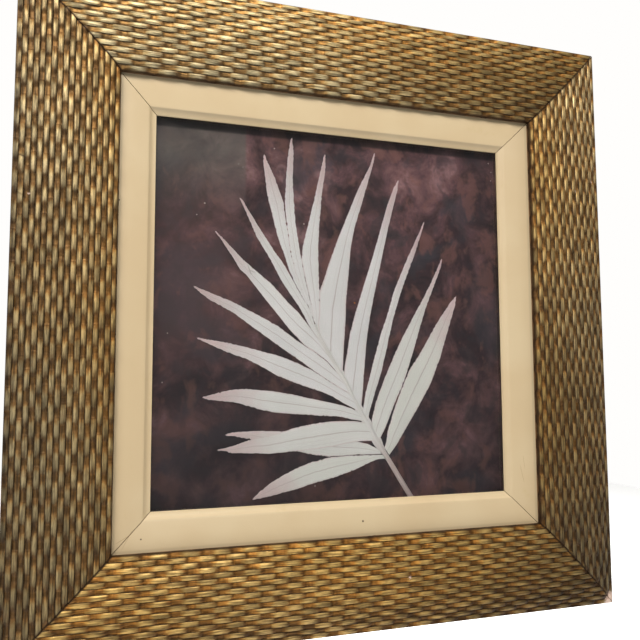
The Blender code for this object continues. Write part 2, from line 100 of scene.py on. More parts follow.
# Leaf
LEAF_FRONT = -3.6
LEAF_BACK = -4.0
LOWER_LEAF_DROP = 0.7
LAYER_DROP = 0.26
LEAFLET_BASE = 2.1
LEAFLET_COLUMNS = 17
BASE_SPREAD = 0.32
TIP_HALF = 0.5
TIP_LENGTH = 0.9
STALK_AXIS = -4.45
STALK_RISE = 0.83
STALK_BACK = -4.69
STALK_COLUMNS = 9
STALK_REACH = 2.6
FLANGE = 1.5
FLANGE_FRONT = -4.36
LEAFLET_STEP = 0.8
STALK_STEP = 1.5
TINY = 1e-6

GLASS_ARRIS = 0.3
GLASS_INSET = 3.0

LINER_SPECKS = [(-117.8, 53.0, 0.5), (10.5, -110.7, 0.7), (-104.5, -112.0, 0.5)]
# painted shading of each liner: overall brightness by side, painted shade on the bevel (a painted highlight
# where below zero) and the painted shadow of the rail in the outer corner
LINER_PAINTED_SHADING = {
    "top": (1.06, 0.24, 0.45), "right": (0.91, 0.0, 0.15),
    "bottom": (0.94, -0.12, 0.15), "left": (1.03, 0.0, 0.15),
}
LINER_HAIRLINES = [
    (-117.0, -113.5, -108.0, -109.0, 0.16), (-114.0, -117.0, -107.5, -106.0, 0.12),
    (108.5, -84.0, 111.0, -96.0, 0.14), (110.5, -79.0, 111.5, -88.0, 0.12),
]
LEAF_FOLDS = [(-51.5, 26.0, -49.0, 19.5, 0.4), (-50.6, 22.5, -46.5, 21.0, 0.3)]
PAPER_SPECKS = [
    (-74.1, 57.0, 0.6), (-78.2, 50.6, 0.45), (-56.2, 79.7, 0.5), (-53.8, 78.2, 0.4), (-19.6, 49.5, 0.5),
    (-36.4, 90.2, 0.45), (97.1, 94.4, 0.5), (98.4, 83.8, 0.4), (98.8, 89.1, 0.4), (-94.7, -36.8, 0.5),
    (-92.4, -11.8, 0.45), (-13.7, -92.1, 0.6),
]
OCHRE_SPOT = (9.8, 6.9, 0.7)
DARK_CORNER = (-60.0, -95.0, 62.0)
PALE_PATCH = (-92.0, 20.0, 62.0)
WORN_SPOTS = {
    "right": [(166.0, -165.0, 5.5), (161.0, 85.0, 0.9), (147.5, 77.5, 0.7)],
    "bottom": [(165.0, -166.5, 5.0), (34.0, -140.0, 0.7)],
    "top": [(2.5, 163.0, 0.5)],
    "left": [(-158.9, 52.0, 0.5)],
}
# from, to and strength
SCRATCHES = {"left": [((-163.9, 70.8), (-161.2, 69.4), 0.9), ((-163.9, 52.4), (-160.2, 50.4), 0.5)]}
SCRATCH_HALF = 0.5
SCRATCH_FADE = 0.25
GREEN_TINT = {
    "leaflet_left_1": 0.8, "leaflet_left_2": 0.5, "leaflet_left_3": 0.5, "leaflet_left_4": 0.3,
    "leaflet_right_1": 0.9, "leaflet_right_2": 0.6, "leaflet_right_3": 0.3,
}


# Meshes

def to_world(across, height, up):
    """Plan coordinates in millimetres to the frame's own, in metres."""
    return np.stack([across * MM, (RAIL_BACK - height) * MM, (up - HANGING_HEIGHT) * MM], axis=-1)


def add_mesh(name, points, faces, materials, face_materials=None, sharp_degrees=50.0):
    mesh = bpy.data.meshes.new(name)
    mesh.from_pydata([tuple(point) for point in points], [], faces)
    for material in materials:
        mesh.materials.append(material)
    if face_materials is not None:
        mesh.polygons.foreach_set("material_index", face_materials)
    mesh.polygons.foreach_set("use_smooth", [True] * len(mesh.polygons))
    mesh.update()
    mesh.validate()
    mesh.set_sharp_from_angle(angle=math.radians(sharp_degrees))
    piece = bpy.data.objects.new(name, mesh)
    bpy.context.scene.collection.objects.link(piece)
    return piece


def add_attribute(piece, name, kind, values):
    attribute = piece.data.attributes.new(name, kind, "POINT")
    key = "vector" if kind == "FLOAT_VECTOR" else "value"
    attribute.data.foreach_set(key, np.asarray(values, dtype=np.float32).ravel())


def declare(piece, slot, *nodes):
    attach(piece, "root")
    if nodes:
        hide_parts(*nodes)


def turned(along, out, side):
    """Plan place of a strip made for the top side, turned to its own side."""
    turn = math.radians(SIDES[side])
    return along * math.cos(turn) + out * math.sin(turn), out * math.cos(turn) - along * math.sin(turn)


def mitred_strip(name, side, ring, ring_materials, rows, materials, front=None, sharp_degrees=50.0):
    """A strip cut at 45 degrees at both ends. Its section is a closed ring of (distance out, height).

    front gives a number of columns and the height over them, for a face with relief. Both ends take
    the second material."""
    out = np.array([point[0] for point in ring])
    flat = np.array([point[1] for point in ring])
    limit = out - MITRE_GAP / math.sqrt(2.0)
    rows = np.asarray(rows, dtype=float)
    count = len(rows)
    low = np.clip(np.searchsorted(rows, -limit, side="right") - 1, 0, count - 1)
    high = np.clip(np.searchsorted(rows, limit, side="left"), 0, count - 1)
    index = np.clip(np.arange(count)[:, None], low[None, :], high[None, :])
    along = np.clip(rows[:, None], -limit[None, :], limit[None, :])
    height = np.repeat(flat[None, :], count, axis=0)
    if front is not None:
        columns, surface = front
        height[:, :columns] = surface(along[:, :columns], out[None, :columns] - RAIL_INNER)
    width = len(ring)
    ids = index * width + np.arange(width)[None, :]
    used, compact = np.unique(ids, return_inverse=True)
    compact = compact.reshape(ids.shape)
    kept = (used // width, used % width)
    along = along[kept]
    out = out[kept[1]]
    height = height[kept]
    across, up = turned(along, out, side)
    points = to_world(across, height, up)
    after = np.roll(compact, -1, axis=1)
    quads = np.stack([compact[:-1], after[:-1], after[1:], compact[1:]], axis=-1).reshape(-1, 4)
    faces = []
    face_materials = []
    for quad, kind in zip(quads.tolist(), np.tile(ring_materials, count - 1).tolist()):
        corners = quad[:1]
        for corner in quad[1:]:
            if corner != corners[-1]:
                corners.append(corner)
        if corners[-1] == corners[0]:
            corners.pop()
        if len(corners) > 2:
            faces.append(corners)
            face_materials.append(kind)
    faces += [compact[0, ::-1].tolist(), compact[-1, :].tolist()]
    face_materials += [1, 1]
    piece = add_mesh(name, points, faces, materials, face_materials, sharp_degrees)
    shift = 70.0 * list(SIDES).index(side)
    add_attribute(piece, "grain", "FLOAT_VECTOR", np.stack([along + shift, out, height], axis=-1))
    return piece, along, out


# Materials

class Paint:
    """Builds one procedural material around a Principled shader."""

    def __init__(self, name, **values):
        self.material = bpy.data.materials.new(name)
        self.material.use_nodes = True
        self.tree = self.material.node_tree
        self.shader = self.tree.nodes["Principled BSDF"]
        for key, value in values.items():
            self.shader.inputs[key.replace("_", " ")].default_value = value

    def node(self, kind, inputs=(), **settings):
        node = self.tree.nodes.new("ShaderNode" + kind)
        for key, value in settings.items():
            setattr(node, key, value)
        for key, value in dict(inputs).items():
            self.put(value, node.inputs[key])
        return node

    def put(self, value, socket):
        if isinstance(value, bpy.types.NodeSocket):
            self.tree.links.new(value, socket)
        else:
            socket.default_value = value

    def set(self, name, value):
        self.put(value, self.shader.inputs[name])

    def place(self):
        return self.node("TexCoord").outputs["Object"]

    def value(self, name):
        return self.node("Attribute", attribute_name=name).outputs["Fac"]

    def vector(self, name):
        return self.node("Attribute", attribute_name=name).outputs["Vector"]

    def parts(self, vector):
        return self.node("SeparateXYZ", {"Vector": vector}).outputs

    def stretch(self, vector, scale):
        return self.node("Mapping", {"Vector": vector, "Scale": scale}).outputs["Vector"]

    def noise(self, vector, scale, detail=3.0, roughness=0.5, distortion=0.0):
        inputs = {
            "Vector": vector, "Scale": scale, "Detail": detail,
            "Roughness": roughness, "Distortion": distortion,
        }
        return self.node("TexNoise", inputs).outputs["Fac"]

    def math(self, operation, first, second=0.0):
        node = self.node("Math", operation=operation)
        self.put(first, node.inputs[0])
        self.put(second, node.inputs[1])
        return node.outputs["Value"]

    def times(self, first, second):
        return self.math("MULTIPLY", first, second)

    def vector_math(self, operation, first, second):
        node = self.node("VectorMath", operation=operation)
        self.put(first, node.inputs[0])
        self.put(second, node.inputs[1])
        return node.outputs

    def between(self, value, low, high, start=0.0, end=1.0):
        inputs = {"Value": value, "From Min": low, "From Max": high, "To Min": start, "To Max": end}
        return self.node("MapRange", inputs, interpolation_type="SMOOTHSTEP").outputs["Result"]

    def mix(self, share, first, second, blend="MIX"):
        node = self.node("Mix", data_type="RGBA", blend_type=blend)
        self.put(share, node.inputs["Factor"])
        self.put(first, node.inputs["A"])
        self.put(second, node.inputs["B"])
        return node.outputs["Result"]

    def shaded(self, colour, shade):
        """The colour times one share for all three channels."""
        grey = self.node("CombineColor", {"Red": shade, "Green": shade, "Blue": shade}).outputs["Color"]
        return self.mix(1.0, colour, grey, "MULTIPLY")

    def ramp(self, value, stops):
        node = self.node("ValToRGB", {"Fac": value})
        elements = node.color_ramp.elements
        while len(elements) < len(stops):
            elements.new(0.5)
        for element, (place, colour) in zip(elements, stops):
            element.position = place
            element.color = colour
        return node.outputs["Color"]

    def strongest(self, marks):
        """The largest of a list of marks at each point."""
        strongest = marks[0]
        for mark in marks[1:]:
            strongest = self.math("MAXIMUM", strongest, mark)
        return strongest

    def spots(self, place, spots):
        """Small round marks, 0 to 1: (across, up, radius) in plan millimetres."""
        plan = self.stretch(place, (1.0, 0.0, 1.0))
        marks = []
        for across, up, radius in spots:
            centre = (across * MM, 0.0, (up - HANGING_HEIGHT) * MM)
            away = self.vector_math("DISTANCE", plan, centre)["Value"]
            marks.append(self.between(away, radius * 0.45 * MM, radius * MM, 1.0, 0.0))
        return self.strongest(marks)

    def lines(self, place, lines):
        """Hairlines, 0 to 1: (across, up, across, up, width) in plan millimetres."""
        marks = []
        for across, up, other_across, other_up, width in lines:
            run = Vector((other_across - across, 0.0, other_up - up))
            along = run.normalized()
            beside = Vector((along.z, 0.0, -along.x))
            middle_up = (up + other_up) / 2.0 - HANGING_HEIGHT
            middle = Vector(((across + other_across) / 2.0 * MM, 0.0, middle_up * MM))
            away = self.vector_math("SUBTRACT", place, middle)["Vector"]
            inside = []
            for direction, reach in ((beside, width), (along, run.length / 2.0)):
                share = self.vector_math("DOT_PRODUCT", away, direction)["Value"]
                distance = self.math("ABSOLUTE", share)
                inside.append(self.between(distance, reach * 0.5 * MM, reach * MM, 1.0, 0.0))
            marks.append(self.times(*inside))
        return self.strongest(marks)

    def bump(self, height, distance, strength=1.0):
        inputs = {"Height": height, "Distance": distance, "Strength": strength}
        return self.node("Bump", inputs).outputs["Normal"]


def rgb(red, green, blue):
    """A screen colour, 0 to 255, as linear light."""
    def linear(value):
        value = value / 255.0
        return value / 12.92 if value <= 0.04045 else ((value + 0.055) / 1.055) ** 2.4
    return (linear(red), linear(green), linear(blue), 1.0)


def woven_gilt():
    """Champagne and gold over brown: pale crowns, a painted highlight in orange where a strand rises
    towards the light, painted shade where it falls away and goes under.
    """
    paint = Paint("woven_gilt")
    weave = paint.vector("weave")
    run = paint.value("run")
    worn = paint.value("worn")
    # glow: painted light on the gold between the crowns, set per rail
    glow = paint.value("glow")
    streaks = paint.noise(paint.stretch(weave, (0.09, 1.1, 1.0)), 1.0, 3.0, 0.6)
    uneven = paint.noise(paint.stretch(weave, (0.3, 0.5, 1.0)), 1.0, 2.0, 0.5)
    grime = paint.noise(weave, 0.16, 4.0, 0.65)
    moved = paint.math("ADD", run, paint.between(uneven, 0.3, 0.7, -0.06, 0.06))
    dull_under = rgb(114, 88, 54)
    bright_under = rgb(206, 158, 90)
    # along each crown: painted highlight in orange on the slope facing the light, the pale crown, then
    # painted shade on the far slope
    dull = paint.ramp(moved, [
        (0.0, dull_under), (0.08, rgb(136, 102, 60)), (0.17, rgb(160, 123, 76)),
        (0.25, rgb(190, 163, 116)), (0.38, rgb(210, 192, 150)), (0.56, rgb(198, 184, 150)),
        (0.7, rgb(162, 147, 118)), (0.8, rgb(114, 92, 62)), (0.9, rgb(104, 79, 48)), (1.0, dull_under)])
    bright = paint.ramp(moved, [
        (0.0, bright_under), (0.1, rgb(208, 164, 99)), (0.2, rgb(214, 184, 124)),
        (0.3, rgb(222, 204, 156)), (0.5, rgb(220, 205, 161)), (0.7, rgb(184, 165, 121)),
        (0.82, rgb(154, 116, 69)), (0.92, rgb(180, 134, 76)), (1.0, bright_under)])
    # glow picks between the dull and the bright colours: painted light, set per rail
    colour = paint.mix(glow, dull, bright)
    colour = paint.mix(paint.value("seam"), colour, paint.mix(glow, dull_under, bright_under))
    yellow = paint.mix(0.75, colour, rgb(232, 196, 110), "MULTIPLY")
    colour = paint.mix(paint.value("patina"), colour, yellow)
    streaked = paint.between(streaks, 0.41, 0.58, 0.5, 1.12)
    shade = paint.times(streaked, paint.between(paint.value("tone"), 0.0, 1.0, 0.76, 1.08))
    # the rail's painted light and shade multiplies the colour here
    colour = paint.shaded(colour, paint.times(shade, paint.value("painted_shading")))
    colour = paint.mix(paint.between(grime, 0.5, 0.72, 0.0, 0.4), colour, rgb(120, 86, 50))
    # painted shade in the creases and along the inner edge, with the dark mitre joints and the scratches
    colour = paint.mix(paint.times(paint.value("shade_and_scratches"), 0.92), colour, rgb(48, 30, 15))
    paint.set("Base Color", paint.mix(worn, colour, rgb(206, 180, 164)))
    rising = paint.math("ABSOLUTE", paint.math("SUBTRACT", run, 0.18))
    rising = paint.between(rising, 0.04, 0.2, 0.26, 0.0)
    paint.set("Roughness", paint.math("ADD", rising, paint.between(streaks, 0.3, 0.7, 0.62, 0.45)))
    paint.set("Metallic", paint.between(worn, 0.0, 1.0, 0.65, 0.0))
    relief = paint.math("ADD", paint.times(streaks, 1.2), paint.times(uneven, 0.4))
    paint.set("Normal", paint.bump(relief, 0.0002, 0.8))
    return paint.material


def rail_side():
    """Plain bronze-brown paint of the rail's outer and inner walls."""
    paint = Paint("rail_side", Metallic=0.25, Roughness=0.5)
    place = paint.place()
    patches = paint.noise(place, 60.0, 5.0, 0.6)
    fine = paint.noise(place, 900.0, 2.0)
    colour = paint.mix(paint.between(patches, 0.35, 0.7), rgb(70, 46, 27), rgb(116, 80, 44))
    paint.set("Base Color", colour)
    paint.set("Normal", paint.bump(fine, 0.0001, 0.5))
    return paint.material


def raw_wood():
    """Sawn pale softwood, its grain along each strip."""
    paint = Paint("raw_wood", Roughness=0.75)
    grain = paint.vector("grain")
    rings = paint.noise(paint.stretch(grain, (0.012, 0.42, 0.3)), 1.0, 4.0, 0.6, 0.2)
    pores = paint.noise(paint.stretch(grain, (0.1, 2.6, 1.5)), 1.0, 2.0)
    saw = paint.noise(paint.stretch(grain, (1.1, 0.05, 0.1)), 1.0, 2.0)
    colour = paint.ramp(rings, [
        (0.3, rgb(112, 84, 54)), (0.46, rgb(142, 113, 78)),
        (0.56, rgb(152, 124, 89)), (0.72, rgb(132, 102, 68))])
    colour = paint.mix(paint.between(pores, 0.5, 0.72, 0.0, 0.45), colour, rgb(98, 70, 42))
    paint.set("Base Color", colour)
    paint.set("Normal", paint.bump(paint.math("ADD", pores, saw), 0.0002, 0.6))
    return paint.material


def cream_paint():
    """Satin cream paint with faint stains, a few specks and hairlines, and brush texture, with painted
    light and shade by side: brighter or darker overall, on the bevel, and a painted shadow in the outer
    corner.
    """
    paint = Paint("cream_paint", Roughness=0.5)
    place = paint.place()
    broad = paint.noise(place, 22.0, 3.0, 0.5)
    stain = paint.noise(place, 75.0, 4.0, 0.65)
    fine = paint.noise(place, 1400.0, 2.0, 0.6)
    colour = paint.mix(paint.between(broad, 0.35, 0.65), rgb(199, 177, 141), rgb(204, 184, 149))
    colour = paint.mix(paint.between(stain, 0.6, 0.85, 0.0, 0.5), colour, rgb(188, 166, 120))
    colour = paint.mix(paint.spots(place, LINER_SPECKS), colour, rgb(66, 46, 30))
    hairlines = paint.times(paint.lines(place, LINER_HAIRLINES), 0.6)
    colour = paint.mix(hairlines, colour, rgb(150, 124, 88))
    # tone holds the painted shading of this liner: overall brightness, painted shade or highlight on the
    # bevel and the painted shadow of the rail in the outer corner
    out = paint.parts(paint.vector("grain"))["Y"]
    tone = paint.parts(paint.vector("tone"))
    bevel = paint.times(paint.between(out, 103.2, 103.9, 1.0, 0.0), tone["Y"])
    corner = paint.times(paint.between(out, 116.2, 117.4), tone["Z"])
    shade = paint.times(tone["X"], paint.math("SUBTRACT", 1.0, bevel))
    shade = paint.times(shade, paint.math("SUBTRACT", 1.0, corner))
    paint.set("Base Color", paint.shaded(colour, shade))
    paint.set("Normal", paint.bump(fine, 0.00006, 0.5))
    return paint.material


def leaf_paint():
    """Bleached leaf: off-white with parallel veins, pinkish towards the tips and margins."""
    paint = Paint("bleached_leaf", Roughness=0.75)
    blade = paint.vector("blade")
    parts = paint.parts(blade)
    length, width, tone = parts["X"], parts["Y"], parts["Z"]
    place = paint.place()
    veins = paint.noise(paint.stretch(blade, (1.2, 14.0, 30.0)), 1.0, 3.0, 0.65)
    cloud = paint.noise(place, 90.0, 3.0, 0.6)
    colour = paint.mix(paint.between(cloud, 0.35, 0.7), rgb(246, 246, 245), rgb(250, 249, 249))
    colour = paint.mix(paint.times(tone, 0.4), colour, rgb(232, 236, 216))
    colour = paint.mix(paint.between(veins, 0.5, 0.72, 0.0, 0.3), colour, rgb(214, 204, 202))
    margin = paint.math("ABSOLUTE", width)
    rim = paint.between(margin, 0.86, 1.0, 0.0, 0.5)
    tip = paint.between(paint.math("ADD", length, paint.times(cloud, 0.3)), 0.72, 1.1, 0.0, 0.85)
    colour = paint.mix(paint.math("MAXIMUM", rim, tip), colour, rgb(226, 202, 202))
    midrib = paint.between(margin, 0.0, 0.07, 0.6, 0.0)
    colour = paint.mix(midrib, colour, rgb(192, 176, 172))
    folds = paint.times(paint.lines(place, LEAF_FOLDS), 0.5)
    colour = paint.mix(folds, colour, rgb(176, 168, 164))
    paint.set("Base Color", colour)
    paint.set("Normal", paint.bump(veins, 0.00012, 0.8))
    return paint.material


def stalk_paint():
    """Dry pinkish-grey stalk, streaked lengthwise and bleached where the leaflets join it."""
    paint = Paint("dried_stalk", Roughness=0.65)
    blade = paint.vector("blade")
    streaks = paint.noise(paint.stretch(blade, (9.0, 3.0, 1.0)), 1.0, 4.0, 0.6)
    bare = paint.ramp(streaks, [
        (0.3, rgb(190, 170, 166)), (0.5, rgb(214, 198, 194)), (0.72, rgb(226, 216, 210))])
    bleached = paint.mix(paint.between(streaks, 0.35, 0.7), rgb(238, 236, 232), rgb(248, 247, 245))
    joined = paint.between(paint.parts(blade)["X"], 0.2, 0.42)
    paint.set("Base Color", paint.mix(joined, bare, bleached))
    paint.set("Normal", paint.bump(streaks, 0.00012, 0.8))
    return paint.material


def mottled_paper():
    """Dark purple-brown paper with soft cloudy mottling and a few pale specks, brighter towards the top,
    with a greyer patch at the upper left and a painted shadow of the liner along the top edge.
    """
    paint = Paint("mottled_paper", Roughness=0.7)
    place = paint.place()
    large = paint.noise(place, 13.0, 3.0, 0.55, 0.4)
    small = paint.noise(place, 52.0, 5.0, 0.62, 0.6)
    fine = paint.noise(place, 260.0, 3.0, 0.6)
    tint = paint.noise(paint.stretch(place, (1.0, 1.0, 1.3)), 19.0, 3.0, 0.5, 0.5)
    clouds = paint.math("ADD", paint.times(large, 0.4), paint.times(small, 0.52))
    clouds = paint.math("ADD", clouds, paint.times(fine, 0.08))
    colour = paint.ramp(clouds, [
        (0.37, rgb(38, 28, 31)), (0.44, rgb(58, 38, 42)), (0.5, rgb(84, 58, 61)),
        (0.56, rgb(110, 79, 80)), (0.64, rgb(150, 114, 118))])
    colour = paint.mix(paint.between(tint, 0.5, 0.62, 0.0, 0.7), colour, rgb(56, 54, 63))
    blotch = paint.noise(paint.stretch(place, (1.0, 1.0, 0.8)), 88.0, 3.0, 0.55, 0.3)
    colour = paint.mix(paint.between(blotch, 0.52, 0.66, 0.0, 0.55), colour, rgb(120, 82, 74))
    colour = paint.mix(paint.between(blotch, 0.34, 0.46, 0.5, 0.0), colour, rgb(46, 44, 50))
    specks = paint.times(paint.spots(place, PAPER_SPECKS), 0.75)
    colour = paint.mix(specks, colour, rgb(206, 196, 186))
    colour = paint.mix(paint.spots(place, [OCHRE_SPOT]), colour, rgb(168, 104, 52))
    parts = paint.parts(place)
    low, high, grey_patch_low, grey_patch_high, shadow = [
        (up - HANGING_HEIGHT) * MM for up in (-95.0, 100.0, 44.0, 90.0, 95.5)]
    rise = paint.between(parts["Z"], low, high, 0.78, 1.3)
    beside = paint.math("ABSOLUTE", paint.math("SUBTRACT", parts["X"], 40.0 * MM))
    rise = paint.times(rise, paint.between(beside, 0.0, 60.0 * MM, 1.28, 0.98))
    colour = paint.shaded(colour, rise)
    dark = paint.times(paint.spots(place, [DARK_CORNER]), 0.42)
    colour = paint.mix(dark, colour, rgb(40, 32, 37))
    pale = paint.times(paint.spots(place, [PALE_PATCH]), 0.2)
    colour = paint.mix(pale, colour, rgb(140, 104, 102))
    # a greyer patch at the upper left, with a straight right edge
    grey_patch_across = paint.between(parts["X"], -53.2 * MM, -51.2 * MM, 1.0, 0.0)
    grey_patch_up = paint.between(parts["Z"], grey_patch_low, grey_patch_high, 0.0, 0.82)
    grey_patch = paint.mix(small, rgb(64, 60, 58), rgb(132, 125, 120))
    colour = paint.mix(paint.times(grey_patch_across, grey_patch_up), colour, grey_patch)
    # painted shadow of the liner's top edge
    shadow = paint.between(parts["Z"], shadow, shadow + 1.5 * MM, 0.0, 0.7)
    colour = paint.mix(shadow, colour, rgb(20, 18, 22))
    grain = paint.noise(place, 1500.0, 2.0)
    paint.set("Base Color", colour)
    paint.set("Normal", paint.bump(grain, 0.00004, 0.4))
    return paint.material


def backing_board():
    """Brown fibreboard with a fine pressed mesh and scuffs."""
    paint = Paint("backing_board", Roughness=0.75)
    place = paint.place()
    fibres = paint.noise(place, 700.0, 4.0, 0.7)
    broad = paint.noise(place, 30.0, 4.0, 0.6)
    scuffs = paint.noise(paint.stretch(place, (60.0, 1.0, 9.0)), 1.0, 5.0, 0.7)
    colour = paint.mix(paint.between(broad, 0.3, 0.7), rgb(112, 77, 46), rgb(140, 101, 64))
    colour = paint.mix(paint.between(fibres, 0.35, 0.7, 0.0, 0.5), colour, rgb(88, 58, 34))
    colour = paint.mix(paint.between(scuffs, 0.66, 0.8, 0.0, 0.4), colour, rgb(170, 134, 92))
    paint.set("Base Color", colour)
    paint.set("Normal", paint.bump(fibres, 0.00015, 0.7))
    return paint.material


def metal(name, colour, dark, roughness):
    paint = Paint(name, Metallic=1.0)
    place = paint.place()
    smear = paint.noise(place, 220.0, 4.0, 0.6)
    paint.set("Base Color", paint.mix(paint.between(smear, 0.4, 0.75), colour, dark))
    paint.set("Roughness", paint.between(smear, 0.3, 0.7, roughness, roughness + 0.2))
    paint.set("Normal", paint.bump(smear, 0.00005, 0.4))
    return paint.material


def clear_glass():
    white = (1.0, 1.0, 1.0, 1.0)
    return Paint("clear_glass", Roughness=0.0, IOR=1.5, Transmission_Weight=1.0, Base_Color=white).material


# Woven rails

def crown_height(across):
    reach = np.abs(across - CROWN_PEAK_AT) / CROWN_REACH
    return CROWN_PEAK - CROWN_DROP * reach ** CROWN_POWER


class Weave:
    """Crowns of every strand on one rail, each a little different in place, length, height and tone."""

    def __init__(self, seed):
        rng = np.random.default_rng(seed)
        self.half = 14
        shape = (STRANDS + 2, 2 * self.half + 1)
        self.shift = rng.normal(0.0, 0.42, shape)
        self.length = rng.normal(CROWN_HALF, 0.32, shape)
        self.drop = np.abs(rng.normal(0.0, 0.07, shape))
        self.tone = rng.uniform(0.0, 1.0, shape)
        self.depth = rng.normal(RELIEF, 0.08, shape)

    def strand(self, number, along):
        """Height below the crowns along one strand, the nearest crown's tone and the place along it."""
        start = (number % 2 + 1) % 2 * PERIOD / 2.0
        nearest = np.round((along - start) / PERIOD).astype(int)
        best = np.full(along.shape, NOWHERE)
        tone = np.zeros(along.shape)
        run = np.zeros(along.shape)
        row = np.clip(number, -1, STRANDS) + 1
        for step in (-1, 0, 1):
            crown = np.clip(nearest + step + self.half, 0, 2 * self.half)
            drop = self.drop[row, crown]
            length = self.length[row, crown]
            centre = (crown - self.half) * PERIOD + start + self.shift[row, crown]
            away = np.abs(along - centre)
            fall = np.clip((away - length) / CROWN_FALL, 0.0, 1.0)
            fall = fall * fall * (3.0 - 2.0 * fall)
            belly = CROWN_BELLY * np.clip(away / length, 0.0, 1.0) ** 2
            here = -drop - belly - (self.depth[row, crown] - drop - belly) * fall
            better = here > best
            best = np.where(better, here, best)
            tone = np.where(better, self.tone[row, crown], tone)
            run = np.where(better, (along - centre) / (PERIOD / 2.0), run)
        return best, tone, run

    def surface(self, along, across):
        """Height below the crowns, tone, painted shade in the creases and place along the crown."""
        number = np.clip(np.floor(across / PITCH).astype(int), 0, STRANDS - 1)
        number = np.broadcast_to(number, along.shape)
        across = np.broadcast_to(across, along.shape)
        best = np.full(along.shape, NOWHERE)
        second = np.full(along.shape, NOWHERE)
        tone = np.zeros(along.shape)
        run = np.zeros(along.shape)
        shade_and_scratches = np.zeros(along.shape)
        for step in (-1, 0, 1):
            strand = number + step
            side = np.abs(across - (strand + 0.5) * PITCH) / (PITCH / 2.0)
            level, strand_tone, strand_run = self.strand(strand, along)
            outside = (strand < 0) | (strand >= STRANDS)
            here = level - STRAND_FALL * np.minimum(side, 1.0) ** STRAND_POWER
            here = here - WALL_SLOPE * np.maximum(side - 1.0, 0.0)
            here = np.where(outside, NOWHERE, here)
            better = here > best
            second = np.where(better, best, np.maximum(here, second))
            best = np.where(better, here, best)
            tone = np.where(better, strand_tone, tone)
            run = np.where(better, strand_run, run)
            # painted shade in the creases: down a strand's side and where neighbouring strands meet
            shade_and_scratches = np.where(better, np.clip((side - CREASE_START) / CREASE_WIDTH, 0.0, 1.0), shade_and_scratches)
        shade_and_scratches = np.maximum(shade_and_scratches, np.clip(1.0 - (best - second) / CREASE_DEPTH, 0.0, 1.0))
        edge = np.clip(1.0 - across / EDGE_ROUND, 0.0, 1.0)
        best = best - EDGE_DROP * edge ** 2
        # painted shade along the rounded inner edge
        shade_and_scratches = np.maximum(shade_and_scratches, np.clip(edge * 2.0, 0.0, 1.0))
        return best, tone, shade_and_scratches, run

    def height(self, along, across):
        relief = self.surface(along, across)[0]
        woven = np.minimum(crown_height(across) + relief, CROWN_PEAK - 0.02)
        rim = np.clip((across - (RAIL_WIDTH - RIM_WIDTH)) / RIM_WIDTH, 0.0, 1.0) ** 0.7
        return woven * (1.0 - rim) + RIM_HEIGHT * rim - 0.5 * rim ** 6


def off_line(across, up, start, end):
    """Distance of each point from the line between start and end."""
    start, end = np.array(start), np.array(end)
    run = end - start
    share = ((across - start[0]) * run[0] + (up - start[1]) * run[1]) / (run @ run)
    share = np.clip(share, 0.0, 1.0)
    return np.hypot(across - start[0] - share * run[0], up - start[1] - share * run[1])


def gold_share(side, across, up, step):
    """How yellow the gilding is: most on the bottom rail, least out on the left rail."""
    inner = np.clip(1.0 - step / 26.0, 0.0, 1.0)
    share = {"top": 0.5 + 0.0035 * across, "right": 0.6, "bottom": 1.0, "left": 0.45}[side]
    inner = inner * {"top": -0.2, "right": 0.35, "bottom": 0.0, "left": 0.35}[side]
    wave = 0.1 * np.sin(across / 31.0 + up / 23.0)
    return np.clip(share + inner + wave, 0.0, 1.0)


def painted_glow_share(side, step):
    """Painted light on the gold down between the crowns: most on the top rail, least low down outside."""
    outer = step / RAIL_WIDTH
    if side == "top":
        return 0.4 + 0.6 * outer
    if side == "bottom":
        return 0.62 - 0.5 * np.clip((outer - 0.6) / 0.25, 0.0, 1.0)
    if side == "right":
        return 0.3 - 0.25 * outer
    return 0.28 - 0.1 * outer


def painted_shading(side, across, up, step):
    """Painted light and shade on the gilding: brightest along the top, darkest low down and at the lower
    right.
    """
    outer = step / RAIL_WIDTH
    if side == "left":
        share = (0.9 + 0.0016 * up) * (1.0 - 0.36 * outer)
        share = share * (1.0 - 0.35 * np.clip((step - RAIL_WIDTH + 3.0) / 1.5, 0.0, 1.0))
    elif side == "right":
        share = 0.7 + 0.0018 * up + outer * (0.17 + 0.002 * up)
    elif side == "top":
        share = 0.9 + 0.36 * outer - 0.0033 * np.maximum(across + 20.0, 0.0)
        share = share - 0.0045 * outer * np.maximum(-60.0 - across, 0.0)
    else:
        share = 1.19 - 0.42 * outer - 0.0047 * np.maximum(across - 20.0, 0.0)
    return np.clip(share, 0.33, 1.35)


